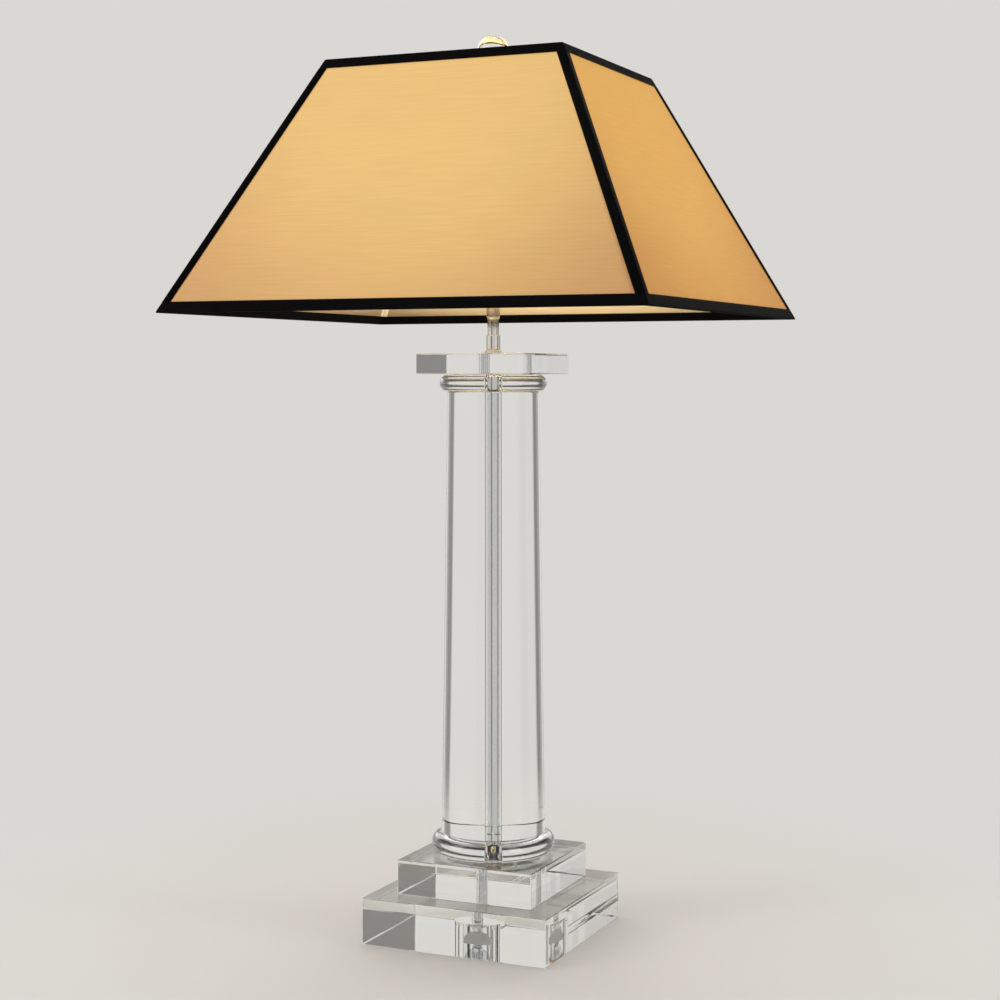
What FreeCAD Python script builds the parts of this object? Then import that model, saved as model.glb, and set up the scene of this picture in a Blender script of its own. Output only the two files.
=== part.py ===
import FreeCAD, Part
import math
import os

# Column table lamp: clear glass column on a stepped square glass base, polished
# nickel neck, wire harp and a four-sided fabric shade held down by a glass ball.
# Millimetres, +Z up, origin at the centre of the underside of the base.
# The front of the lamp faces -Y, and the cord groove leaves the base at +Y.

Vector = FreeCAD.Vector
UP = Vector(0, 0, 1)
FULL_TURN = 360.0
QUARTER_TURN = 90.0
HALF = 0.5

# ---------------------------------------------------------------- glass column
lower_plinth_side = 180.0
lower_plinth_height = 43.0
upper_plinth_side = 132.0
upper_plinth_height = 32.0
base_ring_diameter = 113.2
base_ring_height = 20.0
shaft_bottom_diameter = 95.2
shaft_top_diameter = 84.0
shaft_length = 404.0
capital_ring_diameter = 97.6
capital_ring_height = 16.0
abacus_side = 105.5
abacus_height = 18.5
glass_edge_bevel = 0.8

# ------------------------------------------- recess and groove under the base
recess_diameter = 44.0
recess_depth = 18.0
groove_radius = 4.0

# ------------------------------------------------- pipe that clamps the glass
pipe_diameter = 9.8
pipe_wall = 1.2
glass_bore_clearance = 0.6
thread_clearance = 0.1
pad_diameter = 38.0
pad_thickness = 1.5
clamp_washer_diameter = 36.0
clamp_washer_thickness = 2.0
lock_washer_diameter = 16.0
lock_washer_thickness = 1.6
lock_washer_split = 1.4
nut_sides = 6
nut_across_flats = 14.0
nut_height = 5.0
nut_corner_bevel = 0.8
pipe_end_below_nut = 2.4

# ------------------------------------------------------------- nickel neck
flange_foot_diameter = 16.4
flange_foot_height = 1.7
flange_step_diameter = 14.8
flange_step_height = 1.7
neck_sleeve_diameter = 13.2
neck_sleeve_length = 13.6
neck_tube_diameter = 11.0
neck_tube_length = 16.3
neck_coupling_diameter = 12.4
neck_coupling_length = 10.2
neck_edge_bevel = 0.4

# ------------------------------------------------------------------- harp
saddle_thickness = 1.6
saddle_width = 12.0
saddle_bend_radius = 3.0
prong_width = 3.0
prong_height = 11.4
harp_wire_diameter = 3.6
harp_leg_spacing = 54.0
harp_width = 114.0
harp_leg_length = 18.0
harp_flare_height = 83.0
harp_crown_height = 83.0
harp_crown_bend_radius = 25.0
harp_sleeve_diameter = 7.2
harp_sleeve_length = 12.0
harp_sleeve_clearance = 0.08
stud_collar_diameter = 13.0
stud_collar_height = 7.2
stud_diameter = 6.2
stud_length = 11.5

# ----------------------------------------------------------- lamp socket
socket_cap_diameter = 33.0
socket_cap_wall = 0.8
socket_hub_diameter = 15.0
socket_hub_height = 7.0
socket_cap_dome_height = 7.0
socket_cap_rim_height = 9.0
socket_fit = 0.2
socket_shell_wall = 0.6
socket_shell_length = 58.0
socket_bead = 0.6
liner_wall = 0.7
liner_setback = 2.0
core_height = 28.0
core_edge_bevel = 2.5
core_wire_hole_diameter = 5.0
core_wire_hole_offset = 6.5
screw_shell_wall = 0.4
screw_shell_height = 26.0
screw_shell_clearance = 0.3
contact_thickness = 0.8
contact_rise = 2.4
contact_length = 14.0
contact_width = 6.0
terminal_screw_diameter = 5.6
terminal_screw_depth = 3.0
terminal_screw_head = 1.2
terminal_slot_width = 0.9

# -------------------------------------------------------- socket switch key
key_height_in_core = 13.0
key_stem_diameter = 3.6
key_stem_reach = 24.0
key_stem_depth_in_core = 6.0
key_stem_depth_in_paddle = 4.0
key_stem_fit = 0.05
key_hole_clearance = 0.6
key_paddle_length = 13.0
key_paddle_width = 16.0
key_paddle_thickness = 5.6
key_paddle_round = 1.6

# ------------------------------------------------------------------- bulb
bulb_diameter = 60.0
bulb_length = 106.6
bulb_glass_wall = 0.9
bulb_cap_diameter = 26.0
bulb_cap_wall = 0.4
bulb_cap_height = 23.5
bulb_neck_inset = 4.0
bulb_neck_fit = 0.2
bulb_tip_diameter = 9.2
bulb_tip_height = 1.6
bulb_insulator_height = 2.5

# ------------------------------------------------------------------ shade
shade_bottom_width = 450.0
shade_bottom_depth = 420.0
shade_top_width = 225.0
shade_top_depth = 220.0
shade_height = 222.4
shade_rim_above_hub = 12.1
panel_thickness = 1.0
tape_thickness = 0.8
top_tape_height = 8.6
bottom_tape_height = 9.6
inner_tape_height = 8.0
corner_tape_width = 7.6
seam_tape_width = 4.5
seam_tape_thickness = 0.5
ring_wire_diameter = 3.0
ring_corner_radius = 3.0
strut_diameter = 3.0
wire_clearance = 0.1
spider_hub_diameter = 22.0
spider_hub_thickness = 2.2
spider_hub_hole_clearance = 0.4
spider_arm_diameter = 3.0
spider_slot_clearance = 0.3
spider_arm_bend_inset = 26.0
spider_arm_bend_radius = 20.0

# ----------------------------------------------------------------- finial
finial_ball_diameter = 29.0
finial_seat_diameter = 12.0
finial_base_height = 12.5
finial_foot_diameter = 14.5
finial_foot_height = 1.8
finial_waist_diameter = 9.6
finial_waist_hollow = 0.7
finial_cup_diameter = 14.0
finial_cup_height = 2.2
finial_thread_clearance = 0.1

# ------------------------------------------------- heights, from the table up
upper_plinth_z = lower_plinth_height
base_ring_z = upper_plinth_z + upper_plinth_height
shaft_z = base_ring_z + base_ring_height
capital_ring_z = shaft_z + shaft_length
abacus_z = capital_ring_z + capital_ring_height
flange_z = abacus_z + abacus_height
flange_step_z = flange_z + flange_foot_height
neck_sleeve_z = flange_step_z + flange_step_height
neck_tube_z = neck_sleeve_z + neck_sleeve_length
neck_coupling_z = neck_tube_z + neck_tube_length
saddle_z = neck_coupling_z + neck_coupling_length
socket_z = saddle_z + saddle_thickness

pad_z = recess_depth - pad_thickness
clamp_washer_z = pad_z - clamp_washer_thickness
lock_washer_z = clamp_washer_z - lock_washer_thickness
nut_z = lock_washer_z - nut_height
pipe_bottom_z = nut_z - pipe_end_below_nut
pipe_top_z = socket_z + socket_hub_height

harp_joint_z = socket_z + prong_height
harp_flare_z = harp_joint_z + harp_leg_length
harp_widest_z = harp_flare_z + harp_flare_height
harp_crown_z = harp_widest_z + harp_crown_height
stud_collar_z = harp_crown_z - stud_collar_height * HALF
hub_z = stud_collar_z + stud_collar_height
finial_z = hub_z + spider_hub_thickness
finial_seat_z = finial_z + finial_base_height

shade_top_z = hub_z + shade_rim_above_hub
shade_bottom_z = shade_top_z - shade_height

socket_cap_rim_z = socket_z + socket_hub_height + socket_cap_dome_height
socket_shell_z = socket_cap_rim_z
socket_shell_top_z = socket_shell_z + socket_shell_length
core_z = socket_shell_z + socket_cap_wall
core_top_z = core_z + core_height
contact_top_z = core_top_z + contact_rise
key_z = core_z + key_height_in_core
bulb_insulator_z = contact_top_z + bulb_tip_height
bulb_cap_z = bulb_insulator_z + bulb_insulator_height
bulb_cap_top_z = bulb_cap_z + bulb_cap_height
bulb_top_z = contact_top_z + bulb_length

# ------------------------------------------------------------ radii that fit
pipe_radius = pipe_diameter * HALF
glass_bore_radius = pipe_radius + glass_bore_clearance
thread_radius = pipe_radius + thread_clearance
socket_shell_radius = socket_cap_diameter * HALF - socket_cap_wall - socket_fit
liner_radius = socket_shell_radius - socket_shell_wall - wire_clearance
core_radius = liner_radius - liner_wall - socket_fit
screw_shell_inner_radius = bulb_cap_diameter * HALF + screw_shell_clearance
screw_shell_radius = screw_shell_inner_radius + screw_shell_wall


# ------------------------------------------------------------ shape helpers
def cylinder(diameter, z_low, z_high, x=0.0, y=0.0):
    return Part.makeCylinder(diameter * HALF, z_high - z_low, Vector(x, y, z_low), UP)


def tube(outer_radius, inner_radius, z_low, z_high):
    outer = Part.makeCylinder(outer_radius, z_high - z_low, Vector(0, 0, z_low), UP)
    return outer.cut(Part.makeCylinder(inner_radius, z_high - z_low, Vector(0, 0, z_low), UP))


def profile_point(radius, z):
    return Vector(radius, 0, z)


def revolve_edges(edges):
    return Part.Face(Part.Wire(edges)).revolve(Vector(0, 0, 0), UP, FULL_TURN)


def revolve_points(radius_and_z):
    points = [profile_point(r, z) for r, z in radius_and_z]
    return revolve_edges(Part.makePolygon(points + [points[0]]).Edges)


def line(start, end):
    return Part.LineSegment(start, end).toShape()


def arc(start, middle, end):
    return Part.Arc(start, middle, end).toShape()


def solid_between(low_ring, high_ring):
    """Closed solid whose ends are two flat rings with the same number of points."""
    count = len(low_ring)
    faces = [Part.Face(Part.makePolygon(ring + [ring[0]])) for ring in (low_ring, high_ring)]
    for i in range(count):
        j = (i + 1) % count
        side = [low_ring[i], low_ring[j], high_ring[j], high_ring[i]]
        faces.append(Part.Face(Part.makePolygon(side + [side[0]])))
    solid = Part.makeSolid(Part.makeShell(faces))
    if solid.Volume < 0:
        solid.reverse()
    return solid


def bent_path(points, bend_radius, closed=False):
    """Wire through the points, with a tangent arc of bend_radius at every bend."""
    count = len(points)
    bends = range(count) if closed else range(1, count - 1)
    arcs = {}
    for i in bends:
        corner = points[i]
        back = (points[i - 1] - corner).normalize()
        ahead = (points[(i + 1) % count] - corner).normalize()
        half_angle = back.getAngle(ahead) * HALF
        setback = bend_radius / math.tan(half_angle)
        inward = (back + ahead).normalize()
        middle = corner + inward * (bend_radius / math.sin(half_angle) - bend_radius)
        arcs[i] = (corner + back * setback, middle, corner + ahead * setback)
    edges = []
    last = count if closed else count - 1
    for i in range(last):
        j = (i + 1) % count
        start = arcs[i][2] if i in arcs else points[i]
        end = arcs[j][0] if j in arcs else points[j]
        edges.append(line(start, end))
        if j in arcs:
            edges.append(arc(*arcs[j]))
    return Part.Wire(edges)


def sweep(path, section):
    return path.makePipeShell([section], True, False)


def round_rod(path, diameter):
    start = path.Edges[0].Vertexes[0].Point
    direction = path.Edges[0].tangentAt(path.Edges[0].FirstParameter)
    return sweep(path, Part.Wire(Part.makeCircle(diameter * HALF, start, direction)))


def straight_rod(start, end, diameter):
    return Part.makeCylinder(diameter * HALF, (end - start).Length, start, end - start)


# ------------------------------------------------------------- glass column
def glass_bore(z_low, z_high):
    return Part.makeCylinder(glass_bore_radius, z_high - z_low, Vector(0, 0, z_low), UP)


def glass_block(side, z_low, height):
    block = Part.makeBox(side, side, height, Vector(-side * HALF, -side * HALF, z_low))
    return block.makeChamfer(glass_edge_bevel, block.Edges)


def bored_block(side, z_low, height):
    return glass_block(side, z_low, height).cut(glass_bore(z_low, z_low + height))


def lower_plinth():
    block = bored_block(lower_plinth_side, 0, lower_plinth_height)
    recess = cylinder(recess_diameter, 0, recess_depth)
    groove = Part.makeCylinder(groove_radius, lower_plinth_side, Vector(0, 0, 0), Vector(0, 1, 0))
    return block.cut(recess).cut(groove)


def half_round_ring(diameter, z_low, height):
    """Flat glass disc whose rim is one full half-round, bored for the pipe."""
    rim = diameter * HALF
    flat = rim - height * HALF
    z_high = z_low + height
    corners = [
        profile_point(glass_bore_radius, z_low),
        profile_point(flat, z_low),
        profile_point(flat, z_high),
        profile_point(glass_bore_radius, z_high),
    ]
    widest = profile_point(rim, z_low + height * HALF)
    return revolve_edges([
        line(corners[0], corners[1]),
        arc(corners[1], widest, corners[2]),
        line(corners[2], corners[3]),
        line(corners[3], corners[0]),
    ])


def column_shaft():
    bottom = shaft_bottom_diameter * HALF
    top = shaft_top_diameter * HALF
    top_z = shaft_z + shaft_length
    return revolve_points([
        (glass_bore_radius, shaft_z),
        (bottom - glass_edge_bevel, shaft_z),
        (bottom, shaft_z + glass_edge_bevel),
        (top, top_z - glass_edge_bevel),
        (top - glass_edge_bevel, top_z),
        (glass_bore_radius, top_z),
    ])


# ------------------------------------------------- pipe and its fixing parts
def lock_washer():
    ring = tube(lock_washer_diameter * HALF, thread_radius, lock_washer_z, clamp_washer_z)
    split = Part.makeBox(
        lock_washer_diameter, lock_washer_split, lock_washer_thickness,
        Vector(0, -lock_washer_split * HALF, lock_washer_z))
    return ring.cut(split)


def base_nut():
    side_turn = math.radians(FULL_TURN / nut_sides)
    corner_radius = nut_across_flats * HALF / math.cos(side_turn * HALF)
    corners = []
    for i in range(nut_sides):
        angle = side_turn * i
        corners.append(Vector(corner_radius * math.cos(angle), corner_radius * math.sin(angle), nut_z))
    hexagon = Part.Face(Part.makePolygon(corners + [corners[0]])).extrude(Vector(0, 0, nut_height))
    top_z = nut_z + nut_height
    crown = revolve_points([
        (0, nut_z),
        (corner_radius - nut_corner_bevel, nut_z),
        (corner_radius, nut_z + nut_corner_bevel * HALF),
        (corner_radius, top_z - nut_corner_bevel * HALF),
        (corner_radius - nut_corner_bevel, top_z),
        (0, top_z),
    ])
    return hexagon.common(crown).cut(cylinder(2 * thread_radius, nut_z, top_z))


# --------------------------------------------------------------------- neck
def turned_ring(diameter, z_low, z_high):
    """Ring on the pipe, with its top outer edge eased."""
    radius = diameter * HALF
    return revolve_points([
        (thread_radius, z_low),
        (radius, z_low),
        (radius, z_high - neck_edge_bevel),
        (radius - neck_edge_bevel, z_high),
        (thread_radius, z_high),
    ])


def neck_flange():
    foot = turned_ring(flange_foot_diameter, flange_z, flange_step_z)
    step = turned_ring(flange_step_diameter, flange_step_z, neck_sleeve_z)
    return foot.fuse(step).removeSplitter()


# --------------------------------------------------------------------- harp
def harp_saddle():
    reach = harp_leg_spacing * HALF
    middle_z = saddle_z + saddle_thickness * HALF
    path = bent_path([
        Vector(-reach, 0, harp_joint_z),
        Vector(-reach, 0, middle_z),
        Vector(reach, 0, middle_z),
        Vector(reach, 0, harp_joint_z),
    ], saddle_bend_radius)
    half_thickness = saddle_thickness * HALF
    half_width = saddle_width * HALF
    section = [
        Vector(-reach - half_thickness, -half_width, harp_joint_z),
        Vector(-reach + half_thickness, -half_width, harp_joint_z),
        Vector(-reach + half_thickness, half_width, harp_joint_z),
        Vector(-reach - half_thickness, half_width, harp_joint_z),
    ]
    strip = sweep(path, Part.makePolygon(section + [section[0]]))
    shoulder_z = harp_joint_z - harp_sleeve_length * HALF
    length = harp_leg_spacing + harp_sleeve_diameter
    waste_width = (saddle_width - prong_width) * HALF
    for y in (-half_width, prong_width * HALF):
        strip = strip.cut(Part.makeBox(
            length, waste_width, prong_height, Vector(-length * HALF, y, shoulder_z)))
    return strip.cut(cylinder(2 * thread_radius, saddle_z, socket_z))


def harp_side(direction):
    """Edges of one side of the harp, from the saddle to the flat at the crown."""
    leg_x = harp_leg_spacing * HALF
    wide_x = harp_width * HALF
    crown_x = stud_collar_diameter * HALF + harp_wire_diameter

    # flare: two equal arcs that leave and arrive upright
    flare_turn = 2 * math.atan((wide_x - leg_x) / harp_flare_height)
    flare_radius = harp_flare_height / (2 * math.sin(flare_turn))
    flare_mid_z = harp_flare_z + harp_flare_height * HALF
    flare_mid_x = (leg_x + wide_x) * HALF

    # crown: a long arc inwards that runs into a tighter one, level at the end
    inward = wide_x - crown_x - harp_crown_bend_radius
    upward = harp_crown_height - harp_crown_bend_radius
    centre_step = (inward ** 2 + upward ** 2) / (2 * inward)
    long_radius = centre_step + harp_crown_bend_radius
    long_turn = math.atan2(upward, centre_step - inward)
    long_centre_x = wide_x - long_radius
    short_centre_x = crown_x
    short_centre_z = harp_crown_z - harp_crown_bend_radius

    def at(x, z):
        return Vector(direction * x, 0, z)

    def on_arc(centre_x, centre_z, radius, angle):
        return at(centre_x + radius * math.cos(angle), centre_z + radius * math.sin(angle))

    quarter = math.radians(QUARTER_TURN)
    short_turn = (long_turn + quarter) * HALF
    lower_flare = on_arc(leg_x + flare_radius, harp_flare_z, -flare_radius, -flare_turn * HALF)
    upper_flare = on_arc(wide_x - flare_radius, harp_widest_z, flare_radius, -flare_turn * HALF)
    long_middle = on_arc(long_centre_x, harp_widest_z, long_radius, long_turn * HALF)
    short_middle = on_arc(short_centre_x, short_centre_z, harp_crown_bend_radius, short_turn)
    joint = on_arc(short_centre_x, short_centre_z, harp_crown_bend_radius, long_turn)
    return [
        line(at(leg_x, harp_joint_z), at(leg_x, harp_flare_z)),
        arc(at(leg_x, harp_flare_z), lower_flare, at(flare_mid_x, flare_mid_z)),
        arc(at(flare_mid_x, flare_mid_z), upper_flare, at(wide_x, harp_widest_z)),
        arc(at(wide_x, harp_widest_z), long_middle, joint),
        arc(joint, short_middle, at(crown_x, harp_crown_z)),
    ]


def harp():
    crown_x = stud_collar_diameter * HALF + harp_wire_diameter
    left = harp_side(-1)
    crown = line(Vector(-crown_x, 0, harp_crown_z), Vector(crown_x, 0, harp_crown_z))
    right = harp_side(1)
    path = Part.Wire(Part.__sortEdges__(left + [crown] + right))
    start = Vector(-harp_leg_spacing * HALF, 0, harp_joint_z)
    section = Part.Wire(Part.makeCircle(harp_wire_diameter * HALF, start, UP))
    return sweep(path, section)


def harp_sleeve(direction):
    x = direction * harp_leg_spacing * HALF
    low = harp_joint_z - harp_sleeve_length * HALF
    high = low + harp_sleeve_length
    bore = harp_wire_diameter + 2 * harp_sleeve_clearance
    return cylinder(harp_sleeve_diameter, low, high, x).cut(cylinder(bore, low, high, x))


def harp_stud():
    collar = cylinder(stud_collar_diameter, stud_collar_z, hub_z)
    stud = cylinder(stud_diameter, hub_z, hub_z + stud_length)
    bore = harp_wire_diameter + 2 * wire_clearance
    wire_hole = Part.makeCylinder(
        bore * HALF, 2 * stud_collar_diameter,
        Vector(-stud_collar_diameter, 0, harp_crown_z), Vector(1, 0, 0))
    return collar.fuse(stud).cut(wire_hole)


# ------------------------------------------------------------------- socket
def socket_cap():
    """Spun cup: threaded hub on the pipe, dome, and the rim that takes the shell."""
    rim = socket_cap_diameter * HALF
    hub = socket_hub_diameter * HALF
    hub_top_z = socket_z + socket_hub_height
    top_z = socket_cap_rim_z + socket_cap_rim_height
    wall = socket_cap_wall
    return revolve_points([
        (thread_radius, socket_z),
        (hub, socket_z),
        (hub, hub_top_z - wall),
        (rim - wall, socket_cap_rim_z - wall),
        (rim, socket_cap_rim_z),
        (rim, top_z),
        (rim - wall, top_z),
        (rim - wall, socket_cap_rim_z),
        (hub, hub_top_z),
        (thread_radius, hub_top_z),
    ])


def key_opening(clearance_diameter):
    return Part.makeCylinder(
        clearance_diameter * HALF, socket_cap_diameter,
        Vector(0, 0, key_z), Vector(0, 1, 0))


def socket_shell():
    outer = socket_shell_radius
    inner = outer - socket_shell_wall
    top_z = socket_shell_top_z
    shell = revolve_points([
        (inner, socket_shell_z),
        (outer, socket_shell_z),
        (outer, top_z - 2 * socket_bead),
        (outer + socket_bead, top_z - socket_bead),
        (outer, top_z),
        (inner, top_z),
    ])
    return shell.cut(key_opening(key_stem_diameter + 2 * key_hole_clearance))


def socket_liner():
    sleeve = tube(liner_radius, liner_radius - liner_wall, core_z, socket_shell_top_z - liner_setback)
    return sleeve.cut(key_opening(key_stem_diameter + 2 * key_hole_clearance))


def terminal_seat(direction, diameter, depth):
    start = Vector(direction * (core_radius - depth), 0, core_z + core_height * HALF)
    return Part.makeCylinder(diameter * HALF, depth, start, Vector(direction, 0, 0))


def socket_core():
    core = cylinder(2 * core_radius, core_z, core_top_z)
    core = core.makeChamfer(core_edge_bevel, [core.Edges[2]])
    for x in (-core_wire_hole_offset, core_wire_hole_offset):
        core = core.cut(cylinder(core_wire_hole_diameter, core_z, core_z + core_height * HALF, x))
    for direction in (-1, 1):
        core = core.cut(terminal_seat(direction, terminal_screw_diameter, terminal_screw_depth))
    stem = key_stem_diameter + 2 * key_stem_fit
    bottom = core_radius - key_stem_depth_in_core
    hole = Part.makeCylinder(
        stem * HALF, key_stem_depth_in_core, Vector(0, bottom, key_z), Vector(0, 1, 0))
    return core.cut(hole)


def terminal_screws():
    screws = []
    for direction in (-1, 1):
        body = terminal_seat(direction, terminal_screw_diameter - 2 * wire_clearance, terminal_screw_depth)
        slot = Part.makeBox(
            terminal_screw_head, terminal_slot_width, terminal_screw_diameter,
            Vector(core_radius - terminal_screw_head, -terminal_slot_width * HALF,
                   core_z + (core_height - terminal_screw_diameter) * HALF))
        if direction < 0:
            slot = slot.mirror(Vector(0, 0, 0), Vector(1, 0, 0))
        screws.append(body.cut(slot))
    return Part.makeCompound(screws)


def socket_contact():
    """Sprung brass tongue: one end on the core, the other under the bulb's tip."""
    run = contact_length
    t = contact_thickness
    tip = bulb_tip_diameter * HALF
    outline = [
        (-run + tip, core_top_z),
        (-tip, core_top_z),
        (0, contact_top_z - t),
        (tip, contact_top_z - t),
        (tip, contact_top_z),
        (-t * HALF, contact_top_z),
        (-tip - t * HALF, core_top_z + t),
        (-run + tip, core_top_z + t),
    ]
    points = [Vector(x, -contact_width * HALF, z) for x, z in outline]
    face = Part.Face(Part.makePolygon(points + [points[0]]))
    return face.extrude(Vector(0, contact_width, 0))


def key_stem():
    start = core_radius - key_stem_depth_in_core
    end = key_stem_reach + key_stem_depth_in_paddle
    return Part.makeCylinder(
        key_stem_diameter * HALF, end - start, Vector(0, start, key_z), Vector(0, 1, 0))


def key_paddle():
    """Flat oval turn key with rounded edges, pressed on the end of its stem."""
    side = -key_paddle_thickness * HALF
    middle = key_stem_reach + key_paddle_length * HALF
    top = Vector(side, middle, key_z + key_paddle_width * HALF)
    tip = Vector(side, middle + key_paddle_length * HALF, key_z)
    outline = Part.Wire(Part.Ellipse(top, tip, Vector(side, middle, key_z)).toShape())
    paddle = Part.Face(outline).extrude(Vector(key_paddle_thickness, 0, 0))
    return paddle.makeFillet(key_paddle_round, paddle.Edges).cut(key_stem())


# --------------------------------------------------------------------- bulb
def bulb_profile(shrink):
    """Pear outline from the crown to the foot of the neck, offset inwards by shrink."""
    radius = bulb_diameter * HALF - shrink
    centre_z = bulb_top_z - bulb_diameter * HALF
    neck_radius = bulb_cap_diameter * HALF - bulb_cap_wall - bulb_neck_fit - shrink
    drop = centre_z - bulb_cap_top_z
    lean = math.asin(radius / math.hypot(neck_radius, drop)) - math.atan2(neck_radius, drop)
    shoulder_turn = (math.radians(QUARTER_TURN) - lean) * HALF
    crown = profile_point(0, centre_z + radius)
    shoulder = profile_point(radius * math.cos(shoulder_turn), centre_z + radius * math.sin(shoulder_turn))
    tangent = profile_point(radius * math.cos(lean), centre_z - radius * math.sin(lean))
    neck = profile_point(neck_radius, bulb_cap_top_z)
    foot = profile_point(neck_radius, bulb_cap_top_z - bulb_neck_inset)
    return crown, foot, [arc(crown, shoulder, tangent), line(tangent, neck), line(neck, foot)]


def bulb_glass():
    outer_crown, outer_foot, outer = bulb_profile(0)
    inner_crown, inner_foot, inner = bulb_profile(bulb_glass_wall)
    ends = [line(outer_foot, inner_foot), line(inner_crown, outer_crown)]
    return revolve_edges(Part.__sortEdges__(outer + inner + ends))


def bulb_cap():
    outer = bulb_cap_diameter * HALF
    return revolve_points([
        (bulb_tip_diameter * HALF, bulb_cap_z),
        (outer - bulb_insulator_height * HALF, bulb_cap_z),
        (outer, bulb_cap_z + bulb_insulator_height * HALF),
        (outer, bulb_cap_top_z),
        (outer - bulb_cap_wall, bulb_cap_top_z),
        (outer - bulb_cap_wall, bulb_cap_z + bulb_insulator_height * HALF + bulb_cap_wall),
        (outer - bulb_insulator_height * HALF - bulb_cap_wall, bulb_cap_z + bulb_cap_wall),
        (bulb_tip_diameter * HALF, bulb_cap_z + bulb_cap_wall),
    ])


def bulb_insulator():
    return Part.makeCone(
        bulb_tip_diameter * HALF, (bulb_cap_diameter - bulb_insulator_height) * HALF,
        bulb_insulator_height, Vector(0, 0, bulb_insulator_z), UP)


def bulb_tip():
    return cylinder(bulb_tip_diameter, contact_top_z, bulb_insulator_z)


# -------------------------------------------------------------------- shade
# The four walls lean inwards. A surface is named by its offset: how far it lies
# inside the outer face of the tape, measured square to the wall.
lean_x = (shade_bottom_width - shade_top_width) * HALF / shade_height
lean_y = (shade_bottom_depth - shade_top_depth) * HALF / shade_height
stretch_x = math.hypot(1, lean_x)
stretch_y = math.hypot(1, lean_y)
panel_offset = tape_thickness
panel_inner_offset = panel_offset + panel_thickness
strut_offset = panel_inner_offset + seam_tape_thickness + wire_clearance + strut_diameter * HALF
rim_channel_offset = strut_offset + strut_diameter * HALF + wire_clearance
ring_offset = panel_inner_offset + wire_clearance + ring_wire_diameter * HALF
rim_inset = tape_thickness + wire_clearance + ring_wire_diameter * HALF
bottom_ring_z = shade_bottom_z + rim_inset
top_ring_z = shade_top_z - rim_inset


def half_width(z, offset):
    return shade_bottom_width * HALF - lean_x * (z - shade_bottom_z) - offset * stretch_x


def half_depth(z, offset):
    return shade_bottom_depth * HALF - lean_y * (z - shade_bottom_z) - offset * stretch_y


def shade_corner(side_x, side_y, z, offset):
    return Vector(side_x * half_width(z, offset), side_y * half_depth(z, offset), z)


def shade_outline(z, offset):
    corners = [(-1, -1), (1, -1), (1, 1), (-1, 1)]
    return [shade_corner(side_x, side_y, z, offset) for side_x, side_y in corners]


def shade_block(z_low, z_high, offset):
    return solid_between(shade_outline(z_low, offset), shade_outline(z_high, offset))


def shade_panel(first, second):
    """Flat trapezoid of stiffened fabric, mitred to its neighbours at both corners."""
    z_low = shade_bottom_z + tape_thickness
    z_high = shade_top_z - tape_thickness
    rings = []
    for offset in (panel_offset, panel_inner_offset):
        rings.append([
            shade_corner(*first, z_low, offset),
            shade_corner(*second, z_low, offset),
            shade_corner(*second, z_high, offset),
            shade_corner(*first, z_high, offset),
        ])
    return solid_between(rings[0], rings[1])


def rim_tape(edge_z, direction, outer_height):
    """Tape folded over a rim: outer leg, cap over the edge and shorter inner leg."""
    def band(height, offset):
        end = edge_z + direction * height
        return shade_block(min(edge_z, end), max(edge_z, end), offset)

    inner_offset = rim_channel_offset + tape_thickness
    outer_leg = band(outer_height, 0).cut(band(outer_height, tape_thickness))
    fold = band(inner_tape_height, tape_thickness).cut(band(inner_tape_height, inner_offset))
    inside = band(inner_tape_height, tape_thickness).cut(band(inner_tape_height, rim_channel_offset))
    cap = band(tape_thickness, tape_thickness)
    channel = inside.cut(cap)
    return outer_leg.fuse(fold.cut(channel)).removeSplitter()


def corner_strip(side_x, side_y, z_low, z_high, offset, thickness, width):
    """Strip of tape folded along one slanting corner of the shade."""
    corner_run = Vector(lean_x, lean_y, -1).normalize()
    along_x = width / math.hypot(corner_run.y, corner_run.z)
    along_y = width / math.hypot(corner_run.x, corner_run.z)
    rings = []
    for z in (z_low, z_high):
        outer = shade_corner(1, 1, z, offset)
        inner = shade_corner(1, 1, z, offset + thickness)
        rings.append([
            outer,
            Vector(outer.x - along_x, outer.y, z),
            Vector(outer.x - along_x, inner.y, z),
            inner,
            Vector(inner.x, outer.y - along_y, z),
            Vector(outer.x, outer.y - along_y, z),
        ])
    placed = [[Vector(side_x * p.x, side_y * p.y, p.z) for p in ring] for ring in rings]
    return solid_between(placed[0], placed[1])


def corner_tape(side_x, side_y):
    z_low = shade_bottom_z + bottom_tape_height
    z_high = shade_top_z - top_tape_height
    return corner_strip(side_x, side_y, z_low, z_high, 0, tape_thickness, corner_tape_width)


def seam_tapes():
    ring_room = ring_wire_diameter * HALF + wire_clearance
    z_low = bottom_ring_z + ring_room
    z_high = top_ring_z - ring_room
    strips = []
    for side_x, side_y in ((-1, -1), (1, -1), (1, 1), (-1, 1)):
        strips.append(corner_strip(
            side_x, side_y, z_low, z_high, panel_inner_offset, seam_tape_thickness, seam_tape_width))
    return Part.makeCompound(strips)


def shade_ring(z):
    path = bent_path(shade_outline(z, ring_offset), ring_corner_radius, closed=True)
    return round_rod(path, ring_wire_diameter)


def corner_struts(rings):
    struts = []
    for side_x, side_y in ((-1, -1), (1, -1), (1, 1), (-1, 1)):
        low = shade_corner(side_x, side_y, bottom_ring_z, strut_offset)
        high = shade_corner(side_x, side_y, top_ring_z, strut_offset)
        strut = straight_rod(low, high, strut_diameter)
        for ring in rings:
            strut = strut.cut(ring)
        struts.append(max(strut.Solids, key=lambda piece: piece.Volume))
    return Part.makeCompound(struts)


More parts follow.
